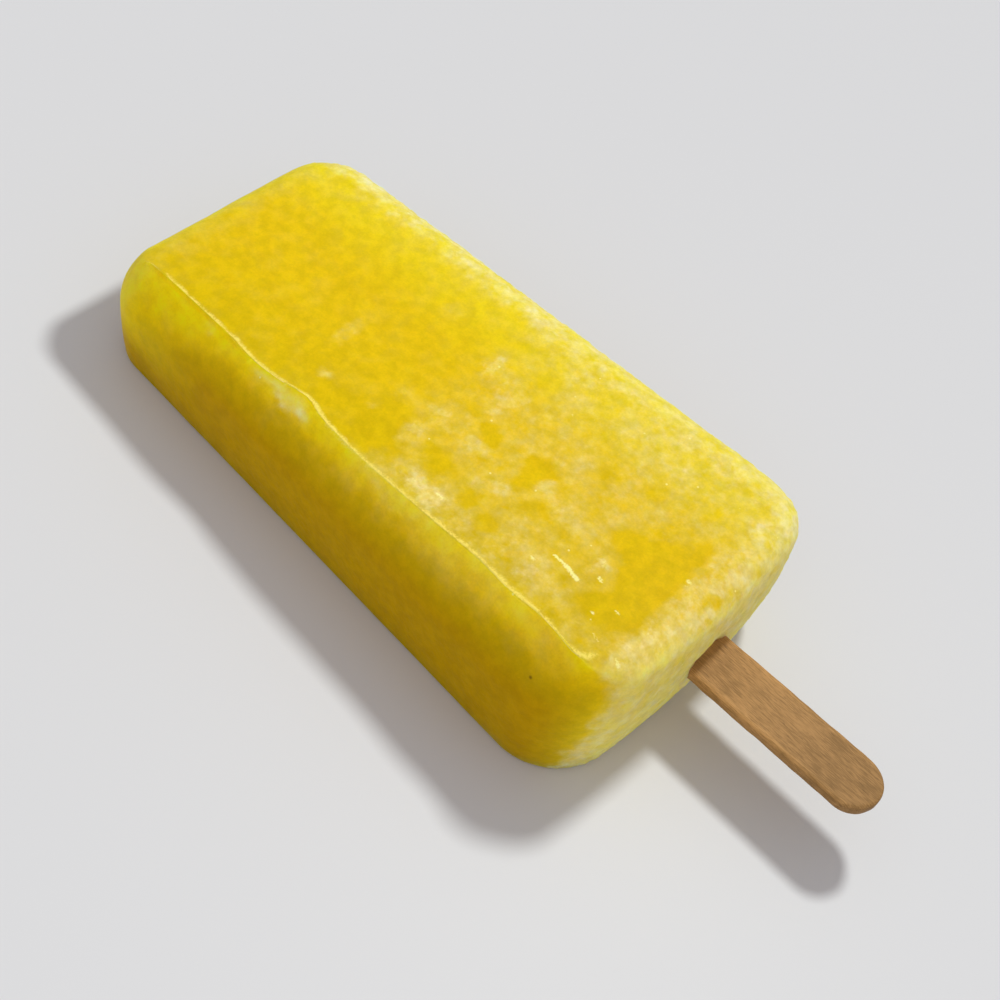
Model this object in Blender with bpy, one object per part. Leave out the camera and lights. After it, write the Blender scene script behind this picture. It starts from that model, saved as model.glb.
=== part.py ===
# Ice lolly that lies on one broad face: a frozen bar moulded round a flat wooden stick.
# X runs along the bar with the stick towards +X, Y runs across it, and Z is up.
# The origin is on the ground, under the middle of the whole thing. Lengths are in metres.

import math

import bmesh
import bpy
from mathutils import Vector

MM = 0.001

# The bar. Its plan is given at its widest level, about half way up its walls.
BAR_LENGTH = 114.4 * MM
TIP_WIDTH = 52.4 * MM
STICK_END_WIDTH = 59.1 * MM
TIP_HEIGHT = 23.2 * MM
STICK_END_HEIGHT = 30.6 * MM
END_SWELL = 3.0 * MM
END_SWELL_REACH = 12.0 * MM

# A wall leans in by "lean" between its widest level and the top face, and by "tuck" down
# to the base. "level" is the widest level as a share of the height, and "edge" is the
# radius of the round into the top face.
WALLS = {
    "tip": {"lean": 4.9 * MM, "tuck": 0.9 * MM, "level": 0.50, "edge": 6.0 * MM},
    "end": {"lean": 1.0 * MM, "tuck": 2.0 * MM, "level": 0.50, "edge": 3.7 * MM},
    "near": {"lean": 5.8 * MM, "tuck": 0.9 * MM, "level": 0.56, "edge": 0.5 * MM},
    "far": {"lean": 2.5 * MM, "tuck": 0.9 * MM, "level": 0.56, "edge": 7.3 * MM},
}
BASE_EDGE = 1.2 * MM
CORNER_RADIUS = {
    ("tip", "near"): 8.9 * MM,
    ("tip", "far"): 11.4 * MM,
    ("end", "near"): 11.8 * MM,
    ("end", "far"): 10.4 * MM,
}

# The sharp near edge goes soft toward both ends: radius added, from where, and to where,
# as shares of the half length
NEAR_EDGE_SOFTER = (
    (5.0 * MM, -0.84, -0.97),
    (3.0 * MM, 0.88, 0.98),
)

# Where the sharp near edge wanders: place along X, how far outwards, and half length
NEAR_EDGE_WAVES = (
    (-25.0 * MM, 0.6 * MM, 5.0 * MM),
    (-12.3 * MM, -1.1 * MM, 4.0 * MM),
    (5.0 * MM, 0.4 * MM, 9.0 * MM),
    (28.0 * MM, -0.4 * MM, 6.0 * MM),
    (43.0 * MM, -0.4 * MM, 4.0 * MM),
)

# Faces of the bar's mesh along it, across it, and up its walls
FACES_ALONG = 56
FACES_ACROSS = 26
BASE_ROWS = 4
WALL_ROWS = 9
EDGE_ROWS = 5
ROWS = BASE_ROWS + WALL_ROWS + EDGE_ROWS

# The stick, a standard flat one, whose hidden part is frozen into the bar
STICK_LENGTH = 114.0 * MM
STICK_WIDTH = 10.0 * MM
STICK_THICKNESS = 2.0 * MM
STICK_ARRIS = 0.3 * MM
STICK_SHOWING = 33.5 * MM
STICK_ENTRY_HEIGHT = 14.1 * MM
STICK_ENTRY_Y = 1.8 * MM
STICK_SLOPE = math.radians(1.4)
STICK_YAW = math.radians(0.8)
STICK_END_FACES = 14
STICK_GAP = 0.3 * MM

SMOOTH_ANGLE = math.radians(42)


def clear_scene():
    for item in list(bpy.data.objects):
        bpy.data.objects.remove(item, do_unlink=True)


def principled(name, colour, roughness, metallic=0.0):
    material = bpy.data.materials.new(name)
    material.use_nodes = True
    shader = material.node_tree.nodes["Principled BSDF"]
    shader.inputs["Base Color"].default_value = (*colour, 1.0)
    shader.inputs["Roughness"].default_value = roughness
    shader.inputs["Metallic"].default_value = metallic
    return material


def new_object(name, mesh_source, material):
    mesh = bpy.data.meshes.new(name)
    mesh_source.to_mesh(mesh)
    mesh_source.free()
    mesh.shade_smooth()
    mesh.set_sharp_from_angle(angle=SMOOTH_ANGLE)
    mesh.materials.append(material)
    item = bpy.data.objects.new(name, mesh)
    bpy.context.collection.objects.link(item)
    return item


def bar_height(u):
    return TIP_HEIGHT + (STICK_END_HEIGHT - TIP_HEIGHT) * (u + 1) / 2


def bar_half_width(x):
    share = x / BAR_LENGTH + 0.5
    return (TIP_WIDTH + (STICK_END_WIDTH - TIP_WIDTH) * share) / 2


def near_edge_wave(x):
    return sum(out * math.exp(-((x - place) / reach) ** 2)
               for place, out, reach in NEAR_EDGE_WAVES)


def near_edge_radius(u):
    radius = WALLS["near"]["edge"]
    for added, start, end in NEAR_EDGE_SOFTER:
        share = min(max((u - start) / (end - start), 0.0), 1.0)
        radius += added * share * share * (3 - 2 * share)
    return radius


# How far in from the widest outline a row of one wall lies, and how high.
# Row 0 is the rim of the base and the last row is the rim of the top face.
def wall_row(row, height, wall, lean, edge):
    widest = wall["level"] * height

    def inset(z):
        if z < widest:
            return wall["tuck"] * ((widest - z) / widest) ** 2
        return lean * ((z - widest) / (height - widest)) ** 2

    def slope(z):
        return math.atan(2 * lean * (z - widest) / (height - widest) ** 2)

    # The round into the top face leaves the wall in line with it, at the shoulder.
    shoulder = height - edge
    for _ in range(6):
        shoulder = height - edge * (1 - math.sin(slope(shoulder)))
    if row <= BASE_ROWS:
        turn = math.pi / 2 * row / BASE_ROWS
        return inset(BASE_EDGE) + BASE_EDGE * (1 - math.sin(turn)), BASE_EDGE * (1 - math.cos(turn))
    if row <= BASE_ROWS + WALL_ROWS:
        z = BASE_EDGE + (shoulder - BASE_EDGE) * (row - BASE_ROWS) / WALL_ROWS
        return inset(z), z
    start = slope(shoulder)
    turn = start + (math.pi / 2 - start) * (row - BASE_ROWS - WALL_ROWS) / EDGE_ROWS
    inward = inset(shoulder) + edge * (math.cos(start) - math.cos(turn))
    return inward, shoulder + edge * (math.sin(turn) - math.sin(start))


# A point of the bar: u runs along it and v across it, both from -1 to 1.
# Inside a corner the square of grid points is drawn in to a quarter circle, ring by ring.
def bar_point(u, v, row):
    end = "tip" if u < 0 else "end"
    side = "near" if v < 0 else "far"
    height = bar_height(u)
    side_lean = WALLS[side]["lean"]
    side_edge = WALLS[side]["edge"]
    if side == "near":
        side_lean -= near_edge_wave(u * BAR_LENGTH / 2)
        side_edge = near_edge_radius(u)
    inset_x, end_z = wall_row(row, height, WALLS[end], WALLS[end]["lean"], WALLS[end]["edge"])
    inset_y, side_z = wall_row(row, height, WALLS[side], side_lean, side_edge)

    radius = CORNER_RADIUS[end, side]
    x = u * (BAR_LENGTH / 2 - inset_x)
    half_width = bar_half_width(x)
    y = v * (half_width - inset_y)
    centre_x = BAR_LENGTH / 2 - radius
    centre_y = half_width - radius
    reach_x = (abs(x) - centre_x) / (radius - inset_x)
    reach_y = (abs(y) - centre_y) / (radius - inset_y)
    if reach_x > 0 and reach_y > 0:
        squeeze = max(reach_x, reach_y) / math.hypot(reach_x, reach_y)
        reach_x *= squeeze
        reach_y *= squeeze
        x = math.copysign(centre_x + (radius - inset_x) * reach_x, u)
        y = math.copysign(centre_y + (radius - inset_y) * reach_y, v)
        facing_end = reach_x ** 2
    else:
        facing_end = 1.0 if reach_x > reach_y else 0.0

    z = height if row == ROWS else end_z * facing_end + side_z * (1 - facing_end)
    swell_start = BAR_LENGTH / 2 - END_SWELL_REACH
    if x > swell_start:
        share = (x - swell_start) / END_SWELL_REACH
        x += END_SWELL * share ** 2 * (1 - (y / half_width) ** 2)
    return Vector((x, y, z))


# The top face starts as a grid. Its rim is drawn down row by row to make the walls, the
# base closes it, and then every point goes to its place on the bar.
def make_bar(material):
    bar = bmesh.new()
    bmesh.ops.create_grid(bar, x_segments=FACES_ALONG, y_segments=FACES_ACROSS, size=1.0)
    rows = {point: ROWS for point in bar.verts}
    rim = [edge for edge in bar.edges if edge.is_boundary]
    for row in reversed(range(ROWS)):
        drawn = bmesh.ops.extrude_edge_only(bar, edges=rim)["geom"]
        rows.update({item: row for item in drawn if isinstance(item, bmesh.types.BMVert)})
        rim = [item for item in drawn if isinstance(item, bmesh.types.BMEdge) and item.is_boundary]
    bmesh.ops.edgeloop_fill(bar, edges=rim)
    for point in bar.verts:
        point.co = bar_point(point.co.x, point.co.y, rows[point])
    bmesh.ops.recalc_face_normals(bar, faces=bar.faces)
    return new_object("ice_body", bar, material)


# A flat stick with full round ends, centred on its own origin, grown all round by "grow"
def make_stick(name, material, grow=0.0, arris=0.0):
    radius = STICK_WIDTH / 2 + grow
    straight = (STICK_LENGTH - STICK_WIDTH) / 2
    stick = bmesh.new()
    outline = []
    for end in (1, -1):
        for step in range(STICK_END_FACES + 1):
            turn = math.pi * (step / STICK_END_FACES - 0.5)
            outline.append(stick.verts.new((end * (straight + radius * math.cos(turn)),
                                            end * radius * math.sin(turn),
                                            -STICK_THICKNESS / 2 - grow)))
    lower = stick.faces.new(outline)
    upper = bmesh.ops.extrude_face_region(stick, geom=[lower])["geom"]
    lifted = [item for item in upper if isinstance(item, bmesh.types.BMVert)]
    bmesh.ops.translate(stick, verts=lifted, vec=(0, 0, STICK_THICKNESS + 2 * grow))
    bmesh.ops.recalc_face_normals(stick, faces=stick.faces)
    if arris:
        faces = [face for face in stick.faces if abs(face.normal.z) > 0.9]
        rims = {edge for face in faces for edge in face.edges}
        bmesh.ops.bevel(stick, geom=list(rims), offset=arris, offset_type="OFFSET", segments=2,
                        profile=0.5, affect="EDGES", clamp_overlap=True)
    return new_object(name, stick, material)


def place_stick(stick):
    entry_x = BAR_LENGTH / 2 + END_SWELL
    back = STICK_LENGTH / 2 - STICK_SHOWING
    stick.rotation_euler = (0, -STICK_SLOPE, STICK_YAW)
    stick.location = (entry_x - back, STICK_ENTRY_Y - back * math.tan(STICK_YAW),
                      STICK_ENTRY_HEIGHT - back * math.tan(STICK_SLOPE))


# The stick's pocket in the ice: the stick's own form with a little room all round
def cut_pocket(bar, material):
    cutter = make_stick("stick_pocket_cutter", material, grow=STICK_GAP)
    place_stick(cutter)
    cutter.hide_render = True
    cutter.display_type = "WIRE"
    pocket = bar.modifiers.new("stick pocket", "BOOLEAN")
    pocket.operation = "DIFFERENCE"
    pocket.solver = "EXACT"
    pocket.object = cutter
    return cutter


# One empty carries every piece and sets the origin under the middle of the whole
def centre_on_origin(bodies, helpers):
    bpy.context.view_layer.update()
    points = [body.matrix_world @ corner.co for body in bodies for corner in body.data.vertices]
    middle_x = (min(p.x for p in points) + max(p.x for p in points)) / 2
    middle_y = (min(p.y for p in points) + max(p.y for p in points)) / 2
    carrier = bpy.data.objects.new("lolly", None)
    bpy.context.collection.objects.link(carrier)
    carrier.location = (-middle_x, -middle_y, 0)
    for item in bodies + helpers:
        item.parent = carrier
    bpy.context.view_layer.update()


def main():
    clear_scene()
    ice = principled("frozen fruit ice", (0.78, 0.56, 0.02), 0.3)
    wood = principled("birch stick", (0.44, 0.26, 0.12), 0.6)
    bar = make_bar(ice)
    stick = make_stick("stick", wood, arris=STICK_ARRIS)
    place_stick(stick)
    cutter = cut_pocket(bar, ice)
    centre_on_origin([bar, stick], [cutter])


main()
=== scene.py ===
import math

import bmesh
import bpy
from mathutils import Matrix, Vector, noise


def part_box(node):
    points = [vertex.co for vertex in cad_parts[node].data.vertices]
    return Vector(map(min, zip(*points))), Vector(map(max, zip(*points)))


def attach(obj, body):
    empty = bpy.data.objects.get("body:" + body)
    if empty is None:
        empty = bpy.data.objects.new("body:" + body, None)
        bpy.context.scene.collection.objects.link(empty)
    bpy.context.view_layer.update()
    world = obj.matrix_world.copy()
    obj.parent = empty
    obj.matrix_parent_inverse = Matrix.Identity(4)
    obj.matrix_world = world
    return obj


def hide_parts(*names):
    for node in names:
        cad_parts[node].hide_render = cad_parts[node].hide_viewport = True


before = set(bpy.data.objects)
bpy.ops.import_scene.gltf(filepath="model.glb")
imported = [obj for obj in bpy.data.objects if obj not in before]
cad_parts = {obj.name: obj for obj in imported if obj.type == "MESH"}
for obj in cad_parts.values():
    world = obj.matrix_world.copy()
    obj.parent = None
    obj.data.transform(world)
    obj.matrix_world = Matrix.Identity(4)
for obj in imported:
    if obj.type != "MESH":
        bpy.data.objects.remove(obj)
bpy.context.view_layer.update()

mm = 0.001
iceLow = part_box("ice_body")[0]
stickLow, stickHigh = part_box("stick")


# Small helpers

def hexColour(code):    # sRGB hex to linear, with alpha
    parts = [int(code[i:i + 2], 16) / 255 for i in (1, 3, 5)]
    linear = [c / 12.92 if c <= 0.04045 else ((c + 0.055) / 1.055) ** 2.4 for c in parts]
    return (*linear, 1.0)


def addNode(tree, kind, settings=None, **inputs):    # a node with its settings and links
    node = tree.nodes.new(kind)
    for key, value in (settings or {}).items():
        setattr(node, key, value)
    for key, value in inputs.items():
        numbered = key[0] == "i" and key[1:].isdigit()
        socket = node.inputs[int(key[1:]) if numbered else key.replace("_", " ")]
        if isinstance(value, bpy.types.NodeSocket):
            tree.links.new(value, socket)
        else:
            socket.default_value = value
    return node.outputs


def smooth(low, high, value):
    share = min(max((value - low) / (high - low), 0.0), 1.0)
    return share * share * (3 - 2 * share)


def hump(value, centre, reach):    # 1 at the centre, falling softly to 0
    return math.exp(-((value - centre) / reach) ** 2)


def fade(part, value):    # part is a strength, the value where it starts and the value where it is full
    strength, start, full = part
    return strength * smooth(start, full, value)


def wander(place, size, seed):    # soft noise, about -1 to 1
    return noise.noise(Vector((place.x / size + seed, place.y / size, place.z / size)))


# A square grid for the top, the same for the base, and walls drawn down between, each point with its row
def drawnSlab(facesAlong, facesAcross, rows):
    shape = bmesh.new()
    bmesh.ops.create_grid(shape, x_segments=facesAlong, y_segments=facesAcross, size=1.0)
    rowOf = shape.verts.layers.int.new("row")
    for point in shape.verts:
        point[rowOf] = rows
    topFaces = list(shape.faces)
    base = bmesh.ops.duplicate(shape, geom=topFaces)["geom"]
    for item in base:
        if isinstance(item, bmesh.types.BMVert):
            item[rowOf] = 0
    bmesh.ops.reverse_faces(shape, faces=[item for item in base if isinstance(item, bmesh.types.BMFace)])
    rim = {edge for face in topFaces for edge in face.edges if edge.is_boundary}
    for row in range(rows - 1, -1, -1):
        drawn = bmesh.ops.extrude_edge_only(shape, edges=list(rim))["geom"]
        for item in drawn:
            if isinstance(item, bmesh.types.BMVert):
                item[rowOf] = row
        rim = {item for item in drawn if isinstance(item, bmesh.types.BMEdge) and item.is_boundary}
    return shape, rowOf


def closeSeam(shape):
    seam = [point for point in shape.verts if point.is_boundary]
    bmesh.ops.remove_doubles(shape, verts=seam, dist=0.001)
    bmesh.ops.recalc_face_normals(shape, faces=shape.faces)
    shape.normal_update()


def finishPiece(name, shape, material):
    mesh = bpy.data.meshes.new(name)
    shape.to_mesh(mesh)
    shape.free()
    mesh.shade_smooth()
    mesh.materials.append(material)
    piece = bpy.data.objects.new(name, mesh)
    bpy.context.collection.objects.link(piece)
    return piece


# The frozen bar, in millimetres about its own middle. Its form follows the CAD solid's to within 1 mm.
# It is one closed shell, without the solid's pocket, and the stick runs into it.
bar = {
    "length": 114.4,
    "tipWidth": 52.4,
    "stickEndWidth": 59.1,
    "tipHeight": 23.2,
    "stickEndHeight": 30.6,
    "endSwell": 3.0,
    "endSwellReach": 12.0,
    "baseEdge": 1.2,
    "walls": {    # lean, tuck, widest level, round into the top face
        "tip": (4.3, 0.9, 0.50, 6.0),
        "end": (1.0, 1.2, 0.50, 3.7),
        "near": (5.8, 0.9, 0.56, 0.5),
        "far": (2.5, 0.9, 0.56, 7.3),
    },
    "corners": {
        ("tip", "near"): 8.9,
        ("tip", "far"): 11.4,
        ("end", "near"): 11.8,
        ("end", "far"): 10.4,
    },
    "nearEdgeWaves": (    # place along, how far out, reach
        (-25.0, 0.6, 5.0),
        (-12.3, -1.1, 4.0),
        (5.0, 0.4, 9.0),
        (28.0, -0.4, 6.0),
        (43.0, -0.4, 4.0),
        (53.5, 1.2, 3.5),
    ),
    "softEnds": (    # how much rounder the crisp edge gets, from and to where along, -1 to 1
        (5.0, -0.90, -0.99),
        (3.0, 0.95, 1.0),
    ),
    "rise": 0.063,    # how much higher the bar gets for each millimetre toward the stick end
    "facesAlong": 236,
    "facesAcross": 114,
    "baseRows": 4,
    "wallRows": 30,
    "edgeRows": 8,
}
barRows = bar["baseRows"] + bar["wallRows"] + bar["edgeRows"]
barShift = iceLow.x / mm + bar["length"] / 2    # from the bar's own middle to the lolly's origin


def nearEdgeWave(x):
    return sum(out * hump(x, place, reach) for place, out, reach in bar["nearEdgeWaves"])


def wallRow(row, height, wall, lean, edge):    # how far in from the widest outline, and how high
    tuck, level = bar["walls"][wall][1:3]
    widest = level * height
    base = bar["baseEdge"]
    spread = height - widest

    def inset(z):
        if z < widest:
            return tuck * ((widest - z) / widest) ** 2
        return lean * ((z - widest) / spread) ** 2

    def slope(z):
        return math.atan(2 * lean * (z - widest) / spread ** 2)

    shoulder = height - edge
    for _ in range(6):    # where the round into the top face leaves the wall in line with it
        shoulder = height - edge * (1 - math.sin(slope(shoulder)))
    if row <= bar["baseRows"]:
        turn = math.pi / 2 * row / bar["baseRows"]
        return inset(base) + base * (1 - math.sin(turn)), base * (1 - math.cos(turn))
    if row <= bar["baseRows"] + bar["wallRows"]:
        z = base + (shoulder - base) * (row - bar["baseRows"]) / bar["wallRows"]
        return inset(z), z
    start = slope(shoulder)
    turn = start + (math.pi / 2 - start) * (row - bar["baseRows"] - bar["wallRows"]) / bar["edgeRows"]
    inward = inset(shoulder) + edge * (math.cos(start) - math.cos(turn))
    return inward, shoulder + edge * (math.sin(turn) - math.sin(start))


def barPoint(u, v, row, softEnds=True):    # u along and v across, -1 to 1, to a point in millimetres
    end = "tip" if u < 0 else "end"
    side = "near" if v < 0 else "far"
    height = bar["tipHeight"] + (bar["stickEndHeight"] - bar["tipHeight"]) * (u + 1) / 2
    lean = bar["walls"][side][0]
    if side == "near":
        lean -= nearEdgeWave(u * bar["length"] / 2)
    edge = bar["walls"][side][3]
    if side == "near" and softEnds:    # the crisp edge goes soft toward both ends
        for part in bar["softEnds"]:
            edge += fade(part, u)
    insetX, endZ = wallRow(row, height, end, bar["walls"][end][0], bar["walls"][end][3])
    insetY, sideZ = wallRow(row, height, side, lean, edge)
    radius = bar["corners"][end, side]
    x = u * (bar["length"] / 2 - insetX)
    halfWidth = (bar["tipWidth"] + (bar["stickEndWidth"] - bar["tipWidth"]) * (x / bar["length"] + 0.5)) / 2
    y = v * (halfWidth - insetY)
    centreX = bar["length"] / 2 - radius
    centreY = halfWidth - radius
    reachX = (abs(x) - centreX) / (radius - insetX)
    reachY = (abs(y) - centreY) / (radius - insetY)
    if reachX > 0 and reachY > 0:    # a corner: the square grid is drawn in to a round one
        squeeze = max(reachX, reachY) / math.hypot(reachX, reachY)
        reachX *= squeeze
        reachY *= squeeze
        x = math.copysign(centreX + (radius - insetX) * reachX, u)
        y = math.copysign(centreY + (radius - insetY) * reachY, v)
        facingEnd = reachX ** 2
    else:
        facingEnd = 1.0 if reachX > reachY else 0.0
    if row == 0:
        z = 0.0
    elif row == barRows:
        z = height
    else:
        z = endZ * facingEnd + sideZ * (1 - facingEnd)
    swellStart = bar["length"] / 2 - bar["endSwellReach"]
    if x > swellStart:
        share = (x - swellStart) / bar["endSwellReach"]
        x += bar["endSwell"] * share ** 2 * (1 - (y / halfWidth) ** 2)
    return Vector((x + barShift, y, z))


# What the skin shows and where, in millimetres: place, half length, half width, strength
patches = {
    "pale": (
        (-15.6, 7.5, 1.5, 2.8, 0.75),
        (-11.0, 5.8, 4.4, 3.0, 0.35),
        (-15.0, 19.5, 4.0, 3.0, 0.30),
        (-4.5, 17.0, 2.2, 2.6, 0.25),
        (-20.0, -8.0, 2.4, 1.7, 0.40),
        (-14.4, -7.0, 2.0, 1.4, 0.40),
        (-14.0, -12.0, 1.6, 2.4, 0.38),
        (-8.2, 0.2, 1.5, 1.3, 0.45),
        (-5.0, -7.6, 3.2, 1.5, 0.35),
        (3.4, -10.0, 1.2, 1.7, 0.45),
        (7.6, -4.2, 1.0, 1.6, 0.40),
        (1.0, -2.5, 0.8, 2.4, 0.35),
        (14.5, -6.6, 4.0, 2.4, 0.14),
        (23.0, -8.6, 1.0, 1.4, 0.60),
        (-4.5, -19.2, 5.4, 2.2, 0.65),
        (7.0, -20.8, 9.0, 1.4, 0.15),
        (14.0, -17.6, 7.0, 3.2, 0.16),
        (26.5, -20.0, 1.2, 1.4, 0.30),
        (-35.6, -5.6, 1.0, 3.2, 0.46),
        (-31.6, -15.1, 1.7, 0.8, 0.50),
        (-22.0, -14.4, 1.0, 1.4, 0.35),
        (-28.5, 11.0, 1.4, 2.2, 0.26),
        (34.4, -1.0, 0.9, 1.4, 0.40),
    ),
    "deep": (
        (-6.8, 12.0, 3.0, 2.8, 0.42),
        (-4.8, 7.0, 0.9, 2.8, 0.35),
        (-5.0, -3.6, 2.6, 1.7, 0.50),
        (-10.5, -2.4, 2.4, 1.2, 0.35),
        (4.0, -1.9, 3.3, 2.1, 0.55),
        (4.6, -5.9, 2.4, 2.8, 0.50),
        (-6.6, -13.2, 3.8, 2.8, 0.50),
        (-9.6, -9.0, 1.4, 1.6, 0.35),
        (9.6, -8.6, 2.2, 2.0, 0.42),
        (-15.8, -17.4, 4.6, 3.0, 0.42),
        (-17.6, -13.0, 2.4, 3.0, 0.25),
        (31.4, -13.0, 2.4, 4.0, 0.45),
        (15.2, -9.4, 1.4, 1.0, 0.25),
        (11.2, 4.2, 1.5, 2.5, 0.30),
        (20.0, 8.0, 2.0, 2.2, 0.22),
        (29.8, -5.6, 4.4, 8.6, 0.75),
        (24.0, -2.4, 4.0, 2.6, 0.55),
        (26.6, -15.4, 3.4, 2.6, 0.45),
        (32.2, 4.6, 1.4, 2.6, 0.50),
        (29.0, 17.0, 2.2, 2.4, 0.20),
        (6.4, -16.4, 1.8, 2.4, 0.40),
        (1.4, -15.4, 1.6, 2.8, 0.40),
        (39.2, -1.0, 1.6, 1.2, 0.60),
    ),
}
# Frost on the near wall: place along and height, half length, half height, strength
wallFrost = (
    (-36.5, 25.0, 3.4, 1.3, 0.90),
    (-31.6, 24.9, 3.4, 1.6, 0.70),
    (-32.4, 23.9, 1.8, 0.7, 1.00),
    (-28.4, 24.1, 2.2, 0.6, 1.20),
    (-50.6, 23.8, 1.2, 0.6, 0.45),
    (-9.0, 26.4, 6.0, 0.8, 0.35),
)
# Painted glints, highlights standing in for wet shine: from, to, half width, strength
paintedGlints = (
    (17.2, -13.1, 19.6, -13.2, 0.35, 0.9),
    (19.6, -13.2, 22.4, -13.8, 0.44, 1.0),
    (23.0, -8.2, 23.3, -9.2, 0.50, 0.6),
    (24.3, -11.0, 25.0, -11.2, 0.45, 0.8),
    (33.4, -1.0, 34.4, -1.2, 0.35, 0.8),
    (33.9, -1.9, 34.3, -2.1, 0.35, 0.6),
    (15.2, -16.0, 15.6, -16.1, 0.40, 0.8),
    (27.7, -16.4, 28.0, -16.4, 0.35, 0.8),
    (28.4, -17.4, 28.6, -17.5, 0.35, 0.7),
    (30.0, -13.6, 30.6, -13.6, 0.40, 0.7),
    (30.4, -19.0, 31.6, -19.6, 0.40, 0.6),
    (0.2, 9.6, 0.5, 9.6, 0.35, 0.6),
    (-2.6, -18.4, -1.2, -18.6, 0.40, 0.8),
    (35.6, -19.8, 36.6, -20.3, 0.40, 0.9),
)
glintReach = (5, 3)    # beyond this along and across, a glint isn't looked at
glintSpread = 1.1
patchReach = 3
patchEdge = 1.6    # the higher, the firmer a patch's edge


def patchSum(kind, x, y):
    total = 0.0
    for placeX, placeY, halfLength, halfWidth, strength in kind:
        away = ((x - placeX) / halfLength) ** 2 + ((y - placeY) / halfWidth) ** 2
        if away < patchReach:
            total += strength * math.exp(-away ** patchEdge)
    return total


def glintSum(x, y):
    total = 0.0
    for startX, startY, endX, endY, halfWidth, strength in paintedGlints:
        if abs(x - startX) > glintReach[0] or abs(y - startY) > glintReach[1]:
            continue
        along = Vector((endX - startX, endY - startY))
        share = min(max((Vector((x - startX, y - startY)) @ along) / along.length_squared, 0), 1)
        away = (Vector((x - startX, y - startY)) - along * share).length
        total = max(total, strength * hump(away, 0, glintSpread * halfWidth))
    return total


def nearEdgeLine(x):    # the y of the crisp edge between the top face and the near wall
    share = (x - barShift) / bar["length"] + 0.5
    halfWidth = (bar["tipWidth"] + (bar["stickEndWidth"] - bar["tipWidth"]) * share) / 2
    return -(halfWidth - bar["walls"]["near"][0] + nearEdgeWave(x - barShift))


# Where frost lies, in millimetres. Three numbers are a strength, where it starts and where it is full.
# Two are only where it starts and is full. Tilt is the normal's height: 1 faces up, 0 sideways.
frost = {
    "drift": 1.3,
    "driftSize": 3.2,
    "fineDrift": 0.7,
    "fineDriftSize": 1.3,
    "heightDrift": 1.0,
    "topTilt": (0.35, 0.8),
    "plain": 0.04,
    "clearTilt": (0.14, 0.6, 0.2),
    "clearAcross": (0, -10),
    "stickHalf": (0.42, -20, -9),
    "stickHalfSkew": 0.12,
    "farQuarterAcross": (0.10, 8, 14),
    "farQuarterAlong": (0, 12),
    "farBand": (0.12, 11, 17),
    # frost on the far rounded rim, which also stands for a painted highlight where it catches the light
    "farRimFrostAndHighlight": (0.95, 17.0, 22.5),
    "farRimFrostAndHighlightTilt": (-0.2, 0.4),
    "farLess": (0.7, -20, 0),
    "tip": (0.22, -63, -70),
    "patchTilt": 0.4,
    "patchMargin": 0.3,
    "endRim": (0.55, 33.4, 35.4),
    "endRimAcross": (-25.5, -21.5),
    "endStart": 34.3,
    "endLaterHigh": (3.2, 31, 25),
    "endSoonerLow": (2.8, 18, 3),
    "endBlend": 2.6,
    "endBlendFar": (9.0, 0, 20),
    "end": 1.20,
    "endSlant": 0.3,
    "endSlantFrom": 25,
    "foot": (0.45, 3.5, 1.0),
    "footAlong": (12, 32),
    "least": -0.3,
    "most": 1.6,
}


def frostAt(place, tilt):    # how frosted the skin is: 0 clear, 1 white with frost
    drift, fineDrift = frost["drift"], frost["fineDrift"]
    size, fineSize = frost["driftSize"], frost["fineDriftSize"]
    x = place.x + drift * wander(place, size, 11.0) + fineDrift * wander(place, fineSize, 23.0)
    y = place.y + drift * wander(place, size, 37.0) + fineDrift * wander(place, fineSize, 41.0)
    z = place.z + frost["heightDrift"] * wander(place, size, 37.0)
    onTop = smooth(*frost["topTilt"], tilt)
    level = frost["plain"] - fade(frost["clearTilt"], tilt) * smooth(*frost["clearAcross"], place.y)
    level += fade(frost["stickHalf"], x - frost["stickHalfSkew"] * y) * onTop
    level += fade(frost["farQuarterAcross"], y) * smooth(*frost["farQuarterAlong"], x) * onTop
    farSide = fade(frost["farBand"], y) + fade(frost["farRimFrostAndHighlight"], y) * smooth(*frost["farRimFrostAndHighlightTilt"], tilt)
    level += farSide * (1 - fade(frost["farLess"], x))
    level += fade(frost["tip"], place.x)
    if tilt > frost["patchTilt"] and place.y > nearEdgeLine(place.x) - frost["patchMargin"]:
        level += patchSum(patches["pale"], x, y) - patchSum(patches["deep"], x, y)
    elif place.y < 0:
        level += patchSum(wallFrost, x, z)
    level += fade(frost["endRim"], x) * smooth(*frost["endRimAcross"], place.y) * onTop
    endStart = frost["endStart"] + fade(frost["endLaterHigh"], z) - fade(frost["endSoonerLow"], z)
    endFull = endStart + (frost["endBlend"] + fade(frost["endBlendFar"], y))
    slanted = x + frost["endSlant"] * (min(y, 0) + frost["endSlantFrom"])
    level += frost["end"] * smooth(endStart, endFull, slanted) * (1 - onTop)
    level += fade(frost["foot"], z) * smooth(*frost["footAlong"], x) * (1 - onTop)
    return min(max(level, frost["least"]), frost["most"])


# The broken bead along the crisp edge, in millimetres: a low ridge of ice, made bright by a painted
# highlight
beadHighlightLine = {
    "starts": (-67.2, -64.4),
    "stops": (35.2, 33.8),
    "stickHalf": (-5, 15),
    "pastEdge": 0.10,
    "wander": 0.22,
    "wanderSize": 1.0,
    "strength": 0.84,
    "uneven": 0.60,
    "unevenSize": 1.2,
    "stronger": (0.30, -32, 14),    # how much, place along, reach
    "strongerToStick": 0.25,
    "width": 0.55,
    "widerToStick": 0.30,
    "nearRimOnTop": -0.9,    # nearer the rim than this across the top, -1 to 1, a point may carry the bead
    "nearRimOnWall": -0.999,
    "farAway": 99.0,
}


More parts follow.
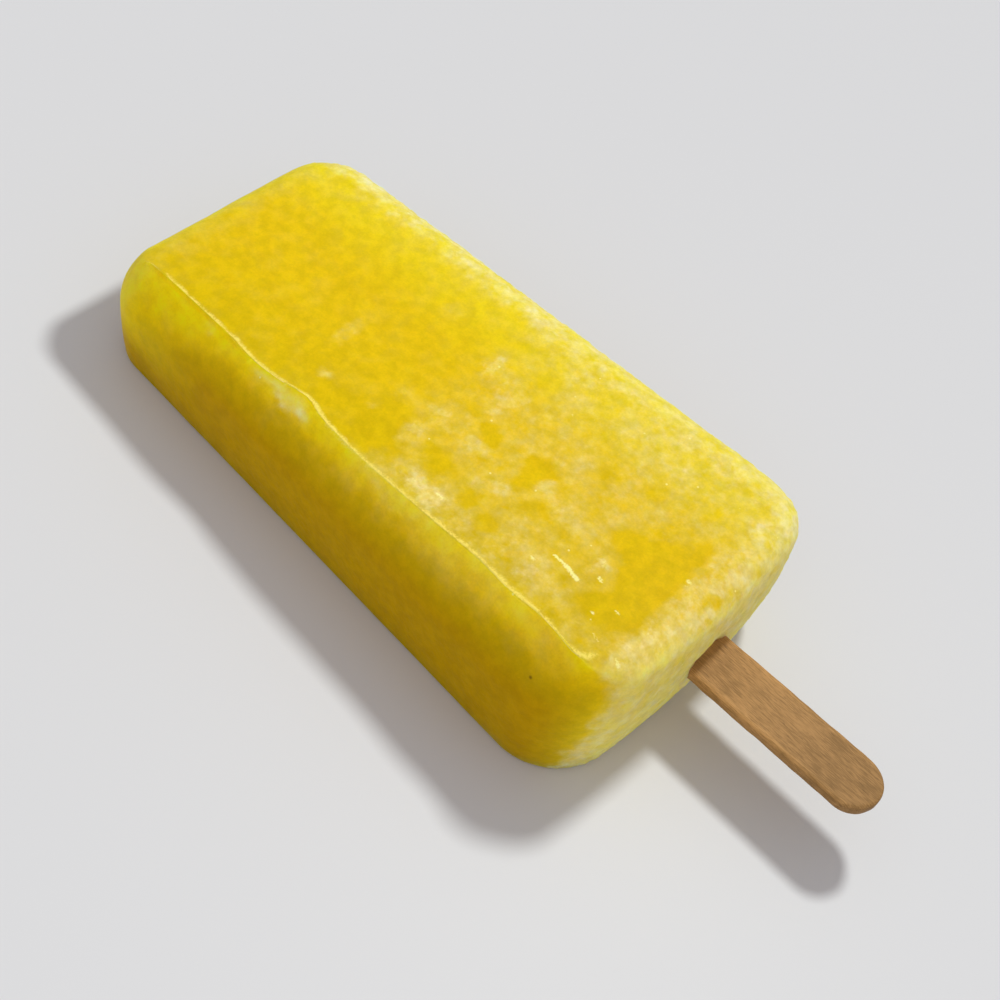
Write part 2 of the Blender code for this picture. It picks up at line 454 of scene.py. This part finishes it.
# How far past the crisp edge a point lies, going from the top face down the near wall
def pastEdge(u, v, row, place):
    onTop = row == barRows
    if v > beadHighlightLine["nearRimOnTop" if onTop else "nearRimOnWall"]:
        return beadHighlightLine["farAway"]
    away = (place - barPoint(u, -1.0, barRows, softEnds=False)).length
    return -away if onTop else away


def beadHighlightAt(place, past):
    ends = smooth(*beadHighlightLine["starts"], place.x) * smooth(*beadHighlightLine["stops"], place.x)
    away = past - beadHighlightLine["pastEdge"] + beadHighlightLine["wander"] * wander(place, beadHighlightLine["wanderSize"], 9.0)
    toStick = smooth(*beadHighlightLine["stickHalf"], place.x)
    stronger, strongest, reach = beadHighlightLine["stronger"]
    broken = beadHighlightLine["strength"] + beadHighlightLine["uneven"] * wander(place, beadHighlightLine["unevenSize"], 5.0)
    broken += stronger * hump(place.x, strongest, reach) + beadHighlightLine["strongerToStick"] * toStick
    width = beadHighlightLine["width"] + beadHighlightLine["widerToStick"] * toStick
    return max(hump(away, 0, width) * ends * broken, 0.0)


def makeIce():
    shape, rowOf = drawnSlab(bar["facesAlong"], bar["facesAcross"], barRows)
    pastLayer = shape.verts.layers.float.new("past")
    for point in shape.verts:
        u, v, row = point.co.x, point.co.y, point[rowOf]
        point.co = barPoint(u, v, row)
        point[pastLayer] = pastEdge(u, v, row, point.co)
    closeSeam(shape)
    return shape


# Relief of the skin, in millimetres, always inwards from the CAD form
relief = {
    "room": 0.20,
    "wave": 0.12,
    "waveSize": 8.0,
    "crust": 0.12,
    "crustFrost": (0.1, 0.9),    # no crust and full crust, by frost
    "crumb": 0.10,
    "crumbSize": 1.3,
    "crumbPlain": 0.25,
    "crumbFrosted": (2.2, 0.3, 1.2),
    "beadHighlight": 0.12,
    "glint": 0.12,
    "glintTilt": 0.6,
    "calmBelow": 1.0,
    "dent": 1.8,    # the end face is hollowed a little over the stick
    "dentFrom": 38,
    "dentAcross": (2.2, 4.8),    # place, reach
    "dentUp": (0.6, 2.8),
}
# Painted shade and painted light: where the walls are painted darker as shade,
# and lighter under the top face as light coming through. Levels are shares of the bar's height.
paintedShadeAndLight = {
    "tip": (-44, -64),
    "tipLevel": (0.1, 0.6),
    "tipShare": 0.85,
    "stickEnd": (30, 40),
    "wallLevel": (0.93, 0.58),
    "wallTilt": (0.85, 0.3),
    "nearTilt": (0.97, 0.7),
    "nearAcross": (-5, -12),
    "nearLevel": (0.80, 0.97),
    "nearLowerAtTip": (0.30, 0.10),
    "tipTilt": (1.0, 0.75),
    "tipAlong": (-60, -70),
    "endTilt": (0.8, 0.3),
    "endAlong": (34.5, 40),
}


# How much painted shade darkens the walls
def paintedWallShade(place, tilt, level, atTip):
    tip = paintedShadeAndLight["tipShare"] * atTip * smooth(*paintedShadeAndLight["tipLevel"], level)
    atEnds = max(tip, smooth(*paintedShadeAndLight["stickEnd"], place.x))
    return smooth(*paintedShadeAndLight["wallLevel"], level) * smooth(*paintedShadeAndLight["wallTilt"], tilt) * (1 - atEnds)


# How much painted light brightens the walls just under the top face, at the near side, the tip and the stick
# end
def paintedUnderEdgeLightAt(place, tilt, level, atTip):
    lower = paintedShadeAndLight["nearLowerAtTip"]
    start = paintedShadeAndLight["nearLevel"][0] - lower[0] * atTip
    full = paintedShadeAndLight["nearLevel"][1] - lower[1] * atTip
    near = smooth(*paintedShadeAndLight["nearTilt"], tilt) * smooth(*paintedShadeAndLight["nearAcross"], place.y)
    near *= smooth(start, full, level)
    tip = smooth(*paintedShadeAndLight["tipTilt"], tilt) * smooth(*paintedShadeAndLight["tipAlong"], place.x)
    tip *= smooth(*paintedShadeAndLight["tipLevel"], level)
    end = smooth(*paintedShadeAndLight["endTilt"], tilt) * smooth(*paintedShadeAndLight["endAlong"], place.x)
    return max(near, tip, end)


def reliefAt(place, frosty, beadHighlight, glint):    # how far the skin moves out, never more than 0
    crumbs = relief["crumbPlain"] + fade(relief["crumbFrosted"], frosty)
    depth = relief["room"]
    depth -= relief["wave"] * wander(place, relief["waveSize"], 3.0)
    depth -= relief["crust"] * (smooth(*relief["crustFrost"], frosty) - 0.5)
    depth -= relief["crumb"] * noise.fractal(place / relief["crumbSize"], 0.8, 2.0, 2) * crumbs
    depth -= relief["beadHighlight"] * beadHighlight + relief["glint"] * glint
    return -max(depth * smooth(0, relief["calmBelow"], place.z), 0.0)


skinValues = ("frost", "glint", "wall", "paintedUnderEdgeLight", "beadHighlight")    # kept on the mesh for the material


def finishIce(shape):
    layers = {name: shape.verts.layers.float.new(name) for name in skinValues}
    rowOf = shape.verts.layers.int["row"]
    pastLayer = shape.verts.layers.float["past"]
    dentPlace, dentReach = relief["dentAcross"]
    dentOver, dentHeight = relief["dentUp"]
    moves = []
    for point in shape.verts:
        place = point.co.copy()
        tilt = point.normal.z
        level = place.z / (bar["tipHeight"] + (place.x - iceLow.x / mm) * bar["rise"])
        atTip = smooth(*paintedShadeAndLight["tip"], place.x)
        frosty = frostAt(place, tilt)
        beadHighlight = beadHighlightAt(place, point[pastLayer])
        glint = glintSum(place.x, place.y) if tilt > relief["glintTilt"] else 0.0
        point[layers["frost"]] = frosty
        point[layers["glint"]] = glint
        point[layers["beadHighlight"]] = beadHighlight
        point[layers["wall"]] = paintedWallShade(place, tilt, level, atTip)
        point[layers["paintedUnderEdgeLight"]] = paintedUnderEdgeLightAt(place, tilt, level, atTip)
        if point[rowOf] == 0:    # the base stays flat
            moves.append(0.0)
            continue
        moves.append(reliefAt(place, frosty, beadHighlight, glint))
        if place.x > relief["dentFrom"]:
            above = hump(place.z, stickHigh.z / mm + dentOver, dentHeight)
            point.co.x -= relief["dent"] * hump(place.y, dentPlace, dentReach) * above
    for point, move in zip(shape.verts, moves):
        point.co = (point.co + point.normal * move) * mm
    return shape


# Frozen fruit ice: a cloudy yellow ice, mottled with dry white frost, with a few painted glints.
# Sizes of the patterns and places are in millimetres.
iceLook = {
    # near, middle and far: painted shade on the near side, painted light toward the far side
    "near": "#E1C10D",
    "middle": "#EAC713",
    "far": "#EFD61E",
    # painted light under the crisp edge, as if coming through the ice
    "paintedUnderEdgeLight": "#FFDF10",
    # painted shade on the walls, darkest low down and where they face sideways
    "wall": "#C69A00",
    "frost": "#FBECA6",
    "fleck": "#FFF2C4",
    # glint: the colour of the painted glints and sparkles
    "glint": "#FFF29A",
    # the bead along the crisp edge: a painted highlight
    "beadHighlight": "#FFE56C",
    "speck": "#6E4A10",
    "speckPlace": (27.6, -27.8, 23.1),
    "cloud": 3.4,
    "mottle": 1.1,
    "tone": 2.3,
    "grain": 1.5,
    "fine": 0.35,
    "sparkle": 1.8,
    "frosting": 0.34,
    "frostEdge": 1.3,
    "calmUnderEdge": -0.6,
    "clouding": (2.4, 0.6),    # with frost, and everywhere
    "crumbling": 1.9,
    "flecks": 0.31,
    "darkest": 0.926,
    "lightest": 1.074,
    "stickEndTone": 0.95,
    "sparkleStrength": 0.8,
    "speckSize": 0.52,
    "speckCore": 0.2,
    "speckStrength": 0.9,
    "iceIndex": 1.31,
    "shine": 0.04,
    "scatterDepth": 8,
    "scatterColours": (1.0, 0.75, 0.08),
}
softRange = {"interpolation_type": "SMOOTHSTEP"}
colourMix = {"data_type": "RGBA"}


def iceMaterial():
    material = bpy.data.materials.new("frozenFruitIce")
    material.use_nodes = True
    tree = material.node_tree
    shader = tree.nodes["Principled BSDF"]
    place = addNode(tree, "ShaderNodeTexCoord")["Object"]
    patterns = {
        "cloud": (5.0, 0.5),
        "mottle": (3.0, 0.5),
        "tone": (4.0, 0.55),
        "grain": (2.0, 0.5),
        "fine": (2.0, 0.5),
    }
    drawn = {}
    for name, (detail, rough) in patterns.items():
        size = iceLook[name] * mm
        drawn[name] = addNode(
            tree, "ShaderNodeTexNoise", Vector=place, Scale=1 / size, Detail=detail, Roughness=rough,
        )["Fac"]
    shown = {}
    for name in skinValues:
        shown[name] = addNode(tree, "ShaderNodeAttribute", {"attribute_name": name})["Fac"]
    add = {"operation": "ADD"}
    times = {"operation": "MULTIPLY"}
    timesPlus = {"operation": "MULTIPLY_ADD"}
    larger = {"operation": "MAXIMUM"}
    less = {"operation": "SUBTRACT"}

    # How much frost shows: the mesh's own value, made uneven by two patterns
    reach = addNode(tree, "ShaderNodeMath", larger, i0=shown["frost"], i1=0.0)[0]
    calm = addNode(
        tree, "ShaderNodeMath", timesPlus, i0=shown["paintedUnderEdgeLight"], i1=iceLook["calmUnderEdge"], i2=1.0,
    )[0]
    reach = addNode(tree, "ShaderNodeMath", times, i0=reach, i1=calm)[0]
    withFrost, everywhere = iceLook["clouding"]
    cloudiness = addNode(tree, "ShaderNodeMath", timesPlus, i0=reach, i1=withFrost, i2=everywhere)[0]
    cloud = addNode(tree, "ShaderNodeMath", less, i0=drawn["cloud"], i1=0.5)[0]
    uneven = addNode(tree, "ShaderNodeMath", times, i0=cloud, i1=cloudiness)[0]
    crumbling = addNode(tree, "ShaderNodeMath", times, i0=reach, i1=iceLook["crumbling"])[0]
    crumb = addNode(tree, "ShaderNodeMath", less, i0=drawn["mottle"], i1=0.5)[0]
    crumbly = addNode(tree, "ShaderNodeMath", times, i0=crumb, i1=crumbling)[0]
    amount = addNode(tree, "ShaderNodeMath", add, i0=shown["frost"], i1=uneven)[0]
    amount = addNode(tree, "ShaderNodeMath", add, i0=amount, i1=crumbly)[0]
    amount = addNode(tree, "ShaderNodeMath", larger, i0=amount, i1=0.0)[0]
    frosted = addNode(tree, "ShaderNodeMath", {"operation": "POWER"}, i0=amount, i1=iceLook["frostEdge"])[0]
    frosted = addNode(tree, "ShaderNodeMath", times, i0=frosted, i1=iceLook["frosting"])[0]

    # The ice's colour, with painted shade on the near side and painted light toward the far side,
    # then painted shade down the walls, painted light under the crisp edge, then frost and flecks
    sides = addNode(tree, "ShaderNodeSeparateXYZ", Vector=place)
    paintedLightToMiddle = addNode(
        tree, "ShaderNodeMapRange", softRange, Value=sides["Y"], From_Min=-22 * mm, From_Max=-2 * mm,
    )[0]
    paintedLightToFar = addNode(
        tree, "ShaderNodeMapRange", softRange, Value=sides["Y"], From_Min=2 * mm, From_Max=20 * mm,
    )[0]
    layers = (
        (paintedLightToMiddle, "middle"),
        (paintedLightToFar, "far"),
        (shown["paintedUnderEdgeLight"], "paintedUnderEdgeLight"),
        (shown["wall"], "wall"),
        (frosted, "frost"),
    )
    skin = hexColour(iceLook["near"])
    for share, name in layers:
        skin = addNode(tree, "ShaderNodeMix", colourMix, i0=share, i6=skin, i7=hexColour(iceLook[name]))[2]
    frostyPart = addNode(tree, "ShaderNodeMapRange", softRange, Value=amount, From_Min=0.4, From_Max=1.4)[0]
    fleck = addNode(
        tree, "ShaderNodeMapRange", softRange,
        Value=drawn["grain"], From_Min=0.40, From_Max=0.76, To_Max=iceLook["flecks"],
    )[0]
    flecks = addNode(tree, "ShaderNodeMath", times, i0=frostyPart, i1=fleck)[0]
    skin = addNode(tree, "ShaderNodeMix", colourMix, i0=flecks, i6=skin, i7=hexColour(iceLook["fleck"]))[2]

    # Lighter and darker places, and a little darker toward the stick end
    toned = addNode(
        tree, "ShaderNodeMapRange", softRange, Value=drawn["tone"], From_Min=0.3, From_Max=0.7,
        To_Min=iceLook["darkest"], To_Max=iceLook["lightest"],
    )[0]
    fineTone = addNode(
        tree, "ShaderNodeMapRange", softRange,
        Value=drawn["fine"], From_Min=0.3, From_Max=0.7, To_Min=0.97, To_Max=1.03,
    )[0]
    toned = addNode(tree, "ShaderNodeMath", times, i0=toned, i1=fineTone)[0]
    alongTone = addNode(
        tree, "ShaderNodeMapRange", softRange, Value=sides["X"],
        From_Min=-20 * mm, From_Max=32 * mm, To_Min=1.0, To_Max=iceLook["stickEndTone"],
    )[0]
    toned = addNode(tree, "ShaderNodeMath", times, i0=toned, i1=alongTone)[0]
    skin = addNode(tree, "ShaderNodeVectorMath", {"operation": "SCALE"}, i0=skin, Scale=toned)[0]

    # Painted highlights: glints, tiny sparkles where there is frost, and the bright bead along the crisp
    # edge
    cells = addNode(tree, "ShaderNodeTexVoronoi", Vector=place, Scale=1 / (iceLook["sparkle"] * mm))
    chosen = addNode(tree, "ShaderNodeSeparateColor", Color=cells["Color"])[0]
    chosen = addNode(tree, "ShaderNodeMapRange", softRange, Value=chosen, From_Min=0.82, From_Max=0.86)[0]
    inFrost = addNode(
        tree, "ShaderNodeMapRange", softRange, Value=shown["frost"], From_Min=0.2, From_Max=0.4,
    )[0]
    chosen = addNode(tree, "ShaderNodeMath", times, i0=chosen, i1=inFrost)[0]
    dot = addNode(
        tree, "ShaderNodeMapRange", softRange,
        Value=cells["Distance"], From_Min=0.14, From_Max=0.06, To_Max=iceLook["sparkleStrength"],
    )[0]
    sparkle = addNode(tree, "ShaderNodeMath", times, i0=chosen, i1=dot)[0]
    glintGrain = addNode(
        tree, "ShaderNodeMapRange", softRange,
        Value=drawn["fine"], From_Min=0.35, From_Max=0.6, To_Min=0.75, To_Max=1.10,
    )[0]
    glint = addNode(tree, "ShaderNodeMath", times, i0=shown["glint"], i1=glintGrain)[0]
    glint = addNode(tree, "ShaderNodeMapRange", softRange, Value=glint, From_Min=0.36, From_Max=0.76)[0]
    bright = addNode(tree, "ShaderNodeMath", larger, i0=glint, i1=sparkle)[0]
    beadGrain = addNode(
        tree, "ShaderNodeMapRange", softRange,
        Value=drawn["fine"], From_Min=0.35, From_Max=0.65, To_Min=0.62, To_Max=1.15,
    )[0]
    beadHighlight = addNode(tree, "ShaderNodeMath", times, i0=shown["beadHighlight"], i1=beadGrain)[0]
    beadHighlight = addNode(tree, "ShaderNodeMapRange", softRange, Value=beadHighlight, From_Min=0.10, From_Max=0.88)[0]
    colour = addNode(tree, "ShaderNodeMix", colourMix, i0=beadHighlight, i6=skin, i7=hexColour(iceLook["beadHighlight"]))[2]
    glintColour = hexColour(iceLook["glint"])
    colour = addNode(tree, "ShaderNodeMix", colourMix, i0=bright, i6=colour, i7=glintColour)[2]
    shining = addNode(tree, "ShaderNodeMath", larger, i0=bright, i1=beadHighlight)[0]

    # One dark speck on the near wall
    speckPlace = Vector(iceLook["speckPlace"]) * mm
    away = addNode(tree, "ShaderNodeVectorMath", {"operation": "DISTANCE"}, i0=place, i1=speckPlace)["Value"]
    edge, core = iceLook["speckSize"] * mm, iceLook["speckCore"] * mm
    speck = addNode(
        tree, "ShaderNodeMapRange", softRange,
        Value=away, From_Min=edge, From_Max=core, To_Max=iceLook["speckStrength"],
    )[0]
    speckColour = hexColour(iceLook["speck"])
    colour = addNode(tree, "ShaderNodeMix", colourMix, i0=speck, i6=colour, i7=speckColour)[2]

    inside = addNode(tree, "ShaderNodeMapRange", softRange, Value=shining, To_Min=1.0, To_Max=0.3)[0]
    rough = addNode(tree, "ShaderNodeMapRange", softRange, Value=amount, To_Min=0.36, To_Max=0.55)[0]
    bumps = (("mottle", 0.4, 0.25), ("grain", 0.4, 0.10), ("fine", 0.3, 0.05))    # pattern, strength, depth
    normal = None
    for name, strength, depth in bumps:
        below = {"Normal": normal} if normal is not None else {}
        normal = addNode(
            tree, "ShaderNodeBump", Strength=strength, Distance=depth * mm, Height=drawn[name], **below,
        )[0]
    tree.links.new(colour, shader.inputs["Base Color"])
    tree.links.new(rough, shader.inputs["Roughness"])
    tree.links.new(inside, shader.inputs["Subsurface Weight"])
    tree.links.new(normal, shader.inputs["Normal"])
    shader.inputs["IOR"].default_value = iceLook["iceIndex"]
    shader.inputs["Specular IOR Level"].default_value = iceLook["shine"]
    shader.inputs["Subsurface Radius"].default_value = iceLook["scatterColours"]
    shader.inputs["Subsurface Scale"].default_value = iceLook["scatterDepth"] * mm
    return material


# The stick, in millimetres: a flat birch one with the CAD solid's size and place, its rims worn rounder
wand = {
    "length": 113.9,
    "width": 10.0,
    "thickness": 2.0,
    "rimTopNear": 0.80,
    "rimTopFar": 0.40,
    "rimBase": 0.35,
    "slope": math.radians(1.4),
    "yaw": math.radians(0.8),
    "uneven": 0.10,
    "nick": (56.0, -1.6, 0.9, 0.35),    # place along and across, reach, depth
    "facesAlong": 190,
    "facesAcross": 16,
    "rimRows": 6,
    "sideLightFrom": 1.3,    # how far in from the widest outline the side's painted light starts, and is full
    "sideLightFull": 0.7,
}
wandRows = 2 * wand["rimRows"] + 1


def wandPoint(u, v, row):
    if row <= wand["rimRows"]:
        turn = math.pi / 2 * row / wand["rimRows"]
        inset = wand["rimBase"] * (1 - math.sin(turn))
        z = wand["rimBase"] * (1 - math.cos(turn))
    else:
        turn = math.pi / 2 * (row - wand["rimRows"] - 1) / wand["rimRows"]
        rim = wand["rimTopFar"] + (wand["rimTopNear"] - wand["rimTopFar"]) * smooth(0.4, -0.8, v)
        inset = rim * (1 - math.cos(turn))
        z = wand["thickness"] - rim * (1 - math.sin(turn))
    radius = wand["width"] / 2
    straight = wand["length"] / 2 - radius
    x = u * (wand["length"] / 2 - inset)
    y = v * (radius - inset)
    reachX = (abs(x) - straight) / (radius - inset)
    reachY = abs(y) / (radius - inset)
    if reachX > 0 and reachX + reachY > 0:    # the full round ends
        squeeze = max(reachX, reachY) / math.hypot(reachX, reachY)
        x = math.copysign(straight + (radius - inset) * reachX * squeeze, u)
        y = math.copysign((radius - inset) * reachY * squeeze, v)
    place = Vector((x, y, z - wand["thickness"] / 2))
    worn = wand["uneven"] * (0.5 + wander(place, 2.2, 51.0 if y > 0 else 67.0)) * smooth(0.6, 1.0, abs(v))
    nickX, nickY, reach, depth = wand["nick"]
    worn += depth * hump(x, nickX, reach) * hump(y, nickY, reach)
    place.y -= math.copysign(min(worn, abs(y)), y)
    return place


def makeStick():
    shape, rowOf = drawnSlab(wand["facesAlong"], wand["facesAcross"], wandRows)
    sideLightLayer = shape.verts.layers.float.new("side")
    half = wand["width"] / 2
    for point in shape.verts:
        point.co = wandPoint(point.co.x, point.co.y, point[rowOf])
        # the upper part of each side, drawn lighter later as painted light on the rim
        worn = smooth(half - wand["sideLightFrom"], half - wand["sideLightFull"], abs(point.co.y))
        point[sideLightLayer] = worn * smooth(-0.6, 0.3, point.co.z)
    closeSeam(shape)
    turned = Matrix.Rotation(wand["yaw"], 4, "Z") @ Matrix.Rotation(-wand["slope"], 4, "Y")
    placed = Matrix.Translation((stickLow + stickHigh) / 2) @ turned @ Matrix.Scale(mm, 4)
    bmesh.ops.transform(shape, matrix=placed, verts=shape.verts)
    return shape


# Birch veneer, sawn and tumbled, dry and unvarnished: fine grain along it with short dark flecks
stickLook = {
    "light": "#B98C53",
    "dark": "#916C3A",
    "fleck": "#5E4322",
    "flecks": 0.38,
    "farEnd": 0.86,
    # worn: how much lighter the upper sides are drawn, painted light on the rounded rims
    "worn": 1.16,
    "clouding": 0.32,
    "patterns": {    # size in millimetres, how many times longer than wide, detail
        "fibre": (0.15, 14.0, 3.0),
        "cloud": (3.4, 1.8, 3.0),
        "fleck": (0.30, 5.0, 1.0),
    },
}


def woodMaterial():
    material = bpy.data.materials.new("birchVeneer")
    material.use_nodes = True
    tree = material.node_tree
    shader = tree.nodes["Principled BSDF"]
    place = addNode(tree, "ShaderNodeTexCoord")["Object"]
    turn = (0, 0, -wand["yaw"])
    drawn = {}
    for name, (size, stretch, detail) in stickLook["patterns"].items():
        lengthwise = addNode(
            tree, "ShaderNodeMapping", Vector=place, Scale=(1 / stretch, 1.0, 1.0), Rotation=turn,
        )[0]
        drawn[name] = addNode(
            tree, "ShaderNodeTexNoise",
            Vector=lengthwise, Scale=1 / (size * mm), Detail=detail, Roughness=0.6,
        )["Fac"]
    both = addNode(
        tree, "ShaderNodeMix", {"data_type": "FLOAT"},
        i0=stickLook["clouding"], i2=drawn["fibre"], i3=drawn["cloud"],
    )[0]
    share = addNode(tree, "ShaderNodeMapRange", softRange, Value=both, From_Min=0.37, From_Max=0.62)[0]
    dark, light, fleck = (hexColour(stickLook[name]) for name in ("dark", "light", "fleck"))
    colour = addNode(tree, "ShaderNodeMix", colourMix, i0=share, i6=dark, i7=light)[2]
    flecks = addNode(
        tree, "ShaderNodeMapRange", softRange,
        Value=drawn["fleck"], From_Min=0.66, From_Max=0.78, To_Max=stickLook["flecks"],
    )[0]
    colour = addNode(tree, "ShaderNodeMix", colourMix, i0=flecks, i6=colour, i7=fleck)[2]
    along = addNode(tree, "ShaderNodeSeparateXYZ", Vector=place)["X"]
    darker = addNode(
        tree, "ShaderNodeMapRange", softRange,
        Value=along, From_Min=50 * mm, From_Max=74 * mm, To_Min=1.0, To_Max=stickLook["farEnd"],
    )[0]
    # The upper sides are painted lighter: painted light on the rounded rims
    side = addNode(tree, "ShaderNodeAttribute", {"attribute_name": "side"})["Fac"]
    lighter = addNode(
        tree, "ShaderNodeMapRange", softRange, Value=side, To_Min=1.0, To_Max=stickLook["worn"],
    )[0]
    shade = addNode(tree, "ShaderNodeMath", {"operation": "MULTIPLY"}, i0=darker, i1=lighter)[0]
    colour = addNode(tree, "ShaderNodeVectorMath", {"operation": "SCALE"}, i0=colour, Scale=shade)[0]
    bump = addNode(tree, "ShaderNodeBump", Strength=0.5, Distance=0.05 * mm, Height=drawn["fibre"])[0]
    tree.links.new(colour, shader.inputs["Base Color"])
    tree.links.new(bump, shader.inputs["Normal"])
    shader.inputs["Roughness"].default_value = 0.65
    shader.inputs["Specular IOR Level"].default_value = 0.3
    return material


# Camera, floor and light
view = {
    "azimuth": 29.54,
    "elevation": 53.93,
    "roll": 18.02,
    "distance": 256.5 * mm,
    "lens": 56.04,
    "aim": (-0.7 * mm, -2.5 * mm, 13.5 * mm),
}
lights = {
    "keyPlace": (0.020, 0.082, 0.200),
    "keySize": 0.014,
    "keyStrength": 20.0,
    "keyColour": (0.968, 1.0, 0.993),
    "skyLow": 0.36,
    "skyHigh": 0.58,
    "skyBrightest": (0.15, -0.40, 0.90),
    "skyColour": (0.99, 0.96, 1.0),
    "floor": 0.72,
    "floorHalf": 1.5,
}


def addCamera():
    turn, lift, roll = (math.radians(view[key]) for key in ("azimuth", "elevation", "roll"))
    back = Vector((math.sin(turn) * math.cos(lift), -math.cos(turn) * math.cos(lift), math.sin(lift)))
    right = Vector((math.cos(turn), math.sin(turn), 0))
    upright = Matrix((right, back.cross(right), back)).transposed().to_4x4()
    data = bpy.data.cameras.new("camera")
    data.lens = view["lens"]
    data.sensor_width = 36.0
    data.clip_start = 0.01
    camera = bpy.data.objects.new("camera", data)
    place = Vector(view["aim"]) + back * view["distance"]
    camera.matrix_world = Matrix.Translation(place) @ upright @ Matrix.Rotation(roll, 4, "Z")
    bpy.context.collection.objects.link(camera)
    bpy.context.scene.camera = camera


def addKey():    # a near soft lamp, its strength spread so that it lights the table evenly
    data = bpy.data.lights.new("keyLight", "POINT")
    data.energy = 1.0
    data.shadow_soft_size = lights["keySize"]
    data.color = lights["keyColour"]
    data.use_nodes = True
    tree = data.node_tree
    emission = tree.nodes["Emission"]
    direction = addNode(tree, "ShaderNodeTexCoord")["Normal"]
    upward = addNode(tree, "ShaderNodeSeparateXYZ", Vector=direction)["Z"]
    steep = addNode(tree, "ShaderNodeMath", {"operation": "ABSOLUTE"}, i0=upward)[0]
    even = addNode(tree, "ShaderNodeMath", {"operation": "DIVIDE"}, i0=lights["keyStrength"], i1=steep)[0]
    falloff = addNode(tree, "ShaderNodeLightFalloff", Strength=even)["Constant"]
    tree.links.new(falloff, emission.inputs["Strength"])
    lamp = bpy.data.objects.new("keyLight", data)
    lamp.location = lights["keyPlace"]
    bpy.context.collection.objects.link(lamp)


def addStage():
    shape = bmesh.new()
    bmesh.ops.create_grid(shape, x_segments=1, y_segments=1, size=lights["floorHalf"])
    mesh = bpy.data.meshes.new("floor")
    shape.to_mesh(mesh)
    shape.free()
    floor = bpy.data.objects.new("floor", mesh)
    bpy.context.collection.objects.link(floor)
    material = bpy.data.materials.new("paleTable")
    material.use_nodes = True
    shader = material.node_tree.nodes["Principled BSDF"]
    tone = lights["floor"]
    shader.inputs["Base Color"].default_value = (tone, tone, tone, 1)
    shader.inputs["Roughness"].default_value = 0.6
    mesh.materials.append(material)
    addKey()
    world = bpy.data.worlds.new("softRoom")
    bpy.context.scene.world = world
    world.use_nodes = True
    tree = world.node_tree
    sky = tree.nodes["Background"]
    sky.inputs["Color"].default_value = (*lights["skyColour"], 1)
    direction = addNode(tree, "ShaderNodeTexCoord")["Generated"]
    brightest = Vector(lights["skyBrightest"]).normalized()
    facing = addNode(
        tree, "ShaderNodeVectorMath", {"operation": "DOT_PRODUCT"}, i0=direction, i1=brightest,
    )["Value"]
    strength = addNode(
        tree, "ShaderNodeMapRange", softRange,
        Value=facing, To_Min=lights["skyLow"], To_Max=lights["skyHigh"],
    )[0]
    tree.links.new(strength, sky.inputs["Strength"])
    bpy.context.scene.view_settings.view_transform = "Standard"


ice = finishPiece("frozenBar", finishIce(makeIce()), iceMaterial())
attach(ice, "root")
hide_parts("ice_body")
print("ice done", len(ice.data.polygons), "faces")

stick = finishPiece("woodenStick", makeStick(), woodMaterial())
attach(stick, "root")
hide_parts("stick")
print("stick done", len(stick.data.polygons), "faces")

addCamera()
addStage()
print("stage done")
